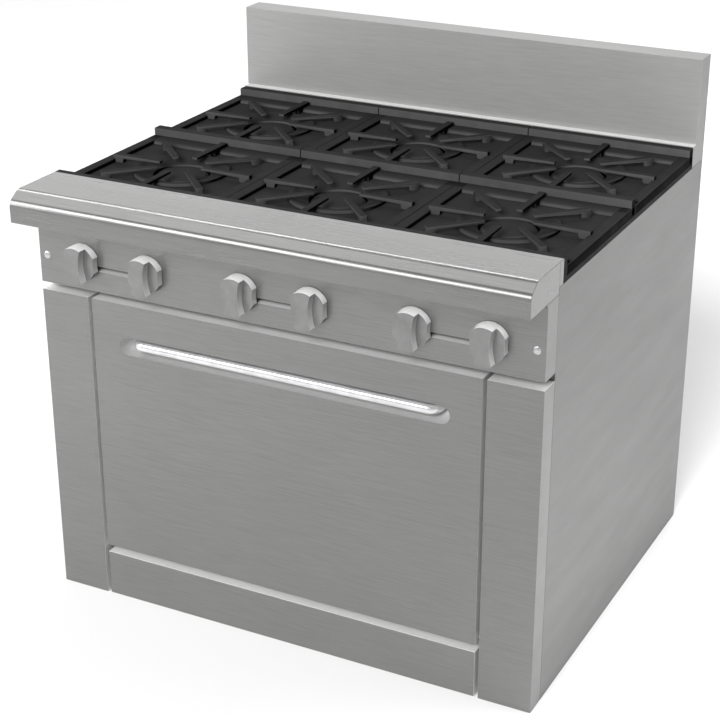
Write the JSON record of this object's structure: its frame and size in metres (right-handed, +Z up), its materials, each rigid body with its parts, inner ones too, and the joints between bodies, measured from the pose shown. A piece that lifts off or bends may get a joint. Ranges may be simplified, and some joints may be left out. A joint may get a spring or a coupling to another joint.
{
  "type": "commercial gas range",
  "caption": "Stainless restaurant gas range with square cast-iron open-burner grates, a hinged oven door below, a low backguard, a front landing ledge and turning knobs.",
  "frame": {"origin": "middle of the footprint on the floor", "axes": "+Z up; -Y is the front, where the door and knobs are; +X is to the right as seen from the front; +Y is the way the gas inlet points, out of the back"},
  "size_m": [0.9144, 0.815, 0.916],
  "materials": {
    "stainless_steel": "brushed, satin",
    "galvanised_steel": "dull galvanised",
    "bright_steel": "bright plated",
    "spring_steel": "oiled wire",
    "black_enamel": "semi-gloss black enamel",
    "oven_enamel": "speckled oven enamel",
    "cast_iron": "seasoned, matte, slightly rough",
    "tube_aluminium": "drawn tube",
    "black_pipe": "black iron pipe",
    "regulator_casting": "die-cast, grey",
    "brass": "machined",
    "insulation_wool": "mineral wool batt",
    "gasket_black": "heat-resistant seal",
    "handle_chrome": "polished chrome",
    "knob_aluminium": "satin cast metal"
  },
  "bodies": {
    "cabinet": {"base_frame": "galvanised_steel", "leg_plates": "galvanised_steel", "base_pan": "galvanised_steel", "side_panel_left": "stainless_steel", "side_panel_right": "stainless_steel", "back_panel": "stainless_steel", "front_frame": "galvanised_steel", "front_post_left": "stainless_steel", "front_post_right": "stainless_steel", "control_panel": "stainless_steel", "body_screws": "bright_steel", "landing_ledge": "stainless_steel", "backguard": "stainless_steel", "backguard_rear_cover": "stainless_steel", "flue_duct": "galvanised_steel", "burner_box": "black_enamel", "burner_bodies_front": "cast_iron", "burner_bodies_rear": "cast_iron", "burner_caps": "cast_iron", "pilot_tubes": "tube_aluminium", "gas_manifold": "black_pipe", "gas_inlet_pipe": "black_pipe", "pressure_regulator": "regulator_casting", "burner_valves": "brass", "oven_liner": "oven_enamel", "oven_insulation": "insulation_wool", "oven_deck": "oven_enamel", "rack_guides": "bright_steel", "oven_burner": "cast_iron", "oven_gas_control": "brass", "door_springs": "spring_steel", "spring_rods": "bright_steel"},
    "oven_door": {"door_outer_panel": "stainless_steel", "door_inner_panel": "oven_enamel", "door_insulation": "insulation_wool", "door_gasket": "gasket_black", "door_handle": "handle_chrome", "door_hinge_shafts": "bright_steel"},
    "kick_panel": {"kick_panel": "stainless_steel"},
    "crumb_tray": {"crumb_tray": "stainless_steel"},
    "oven_rack_lower": {"oven_rack_lower": "bright_steel"},
    "oven_rack_upper": {"oven_rack_upper": "bright_steel"},
    "knob_1": {"knob_1": "knob_aluminium", "valve_stem_1": "brass"},
    "knob_2": {"knob_2": "knob_aluminium", "valve_stem_2": "brass"},
    "knob_3": {"knob_3": "knob_aluminium", "valve_stem_3": "brass"},
    "knob_4": {"knob_4": "knob_aluminium", "valve_stem_4": "brass"},
    "knob_5": {"knob_5": "knob_aluminium", "valve_stem_5": "brass"},
    "knob_6": {"knob_6": "knob_aluminium", "valve_stem_6": "brass"},
    "grate_front_left": {"grate_front_left": "cast_iron"},
    "grate_front_middle": {"grate_front_middle": "cast_iron"},
    "grate_front_right": {"grate_front_right": "cast_iron"},
    "grate_rear_left": {"grate_rear_left": "cast_iron"},
    "grate_rear_middle": {"grate_rear_middle": "cast_iron"},
    "grate_rear_right": {"grate_rear_right": "cast_iron"}
  },
  "joints": [
    {"name": "oven_door_hinge", "type": "hinge", "parent": "cabinet", "child": "oven_door", "pos_m": [0, -0.3195, 0.11], "axis": [1, 0, 0], "range_deg": [0, 90]},
    {"name": "knob_1_turn", "type": "hinge", "parent": "cabinet", "child": "knob_1", "pos_m": [-0.3683, -0.3375, 0.6374], "axis": [0, -1, 0], "range_deg": [0, 90]},
    {"name": "knob_2_turn", "type": "hinge", "parent": "cabinet", "child": "knob_2", "pos_m": [-0.2413, -0.3375, 0.6374], "axis": [0, -1, 0], "range_deg": [0, 90]},
    {"name": "knob_3_turn", "type": "hinge", "parent": "cabinet", "child": "knob_3", "pos_m": [-0.0635, -0.3375, 0.6374], "axis": [0, -1, 0], "range_deg": [0, 90]},
    {"name": "knob_4_turn", "type": "hinge", "parent": "cabinet", "child": "knob_4", "pos_m": [0.0635, -0.3375, 0.6374], "axis": [0, -1, 0], "range_deg": [0, 90]},
    {"name": "knob_5_turn", "type": "hinge", "parent": "cabinet", "child": "knob_5", "pos_m": [0.2413, -0.3375, 0.6374], "axis": [0, -1, 0], "range_deg": [0, 90]},
    {"name": "knob_6_turn", "type": "hinge", "parent": "cabinet", "child": "knob_6", "pos_m": [0.3683, -0.3375, 0.6374], "axis": [0, -1, 0], "range_deg": [0, 90]},
    {"name": "grate_front_left_lift", "type": "slide", "parent": "cabinet", "child": "grate_front_left", "axis": [0, 0, 1], "range_m": [0, 0.1]},
    {"name": "grate_front_middle_lift", "type": "slide", "parent": "cabinet", "child": "grate_front_middle", "axis": [0, 0, 1], "range_m": [0, 0.1]},
    {"name": "grate_front_right_lift", "type": "slide", "parent": "cabinet", "child": "grate_front_right", "axis": [0, 0, 1], "range_m": [0, 0.1]},
    {"name": "grate_rear_left_lift", "type": "slide", "parent": "cabinet", "child": "grate_rear_left", "axis": [0, 0, 1], "range_m": [0, 0.1]},
    {"name": "grate_rear_middle_lift", "type": "slide", "parent": "cabinet", "child": "grate_rear_middle", "axis": [0, 0, 1], "range_m": [0, 0.1]},
    {"name": "grate_rear_right_lift", "type": "slide", "parent": "cabinet", "child": "grate_rear_right", "axis": [0, 0, 1], "range_m": [0, 0.1]},
    {"name": "kick_panel_pull", "type": "slide", "parent": "cabinet", "child": "kick_panel", "axis": [0, -1, 0], "range_m": [0, 0.1]},
    {"name": "crumb_tray_slide", "type": "slide", "parent": "cabinet", "child": "crumb_tray", "axis": [0, -1, 0], "range_m": [0, 0.55]},
    {"name": "oven_rack_lower_slide", "type": "slide", "parent": "cabinet", "child": "oven_rack_lower", "axis": [0, -1, 0], "range_m": [0, 0.045]},
    {"name": "oven_rack_upper_slide", "type": "slide", "parent": "cabinet", "child": "oven_rack_upper", "axis": [0, -1, 0], "range_m": [0, 0.045]}
  ]
}
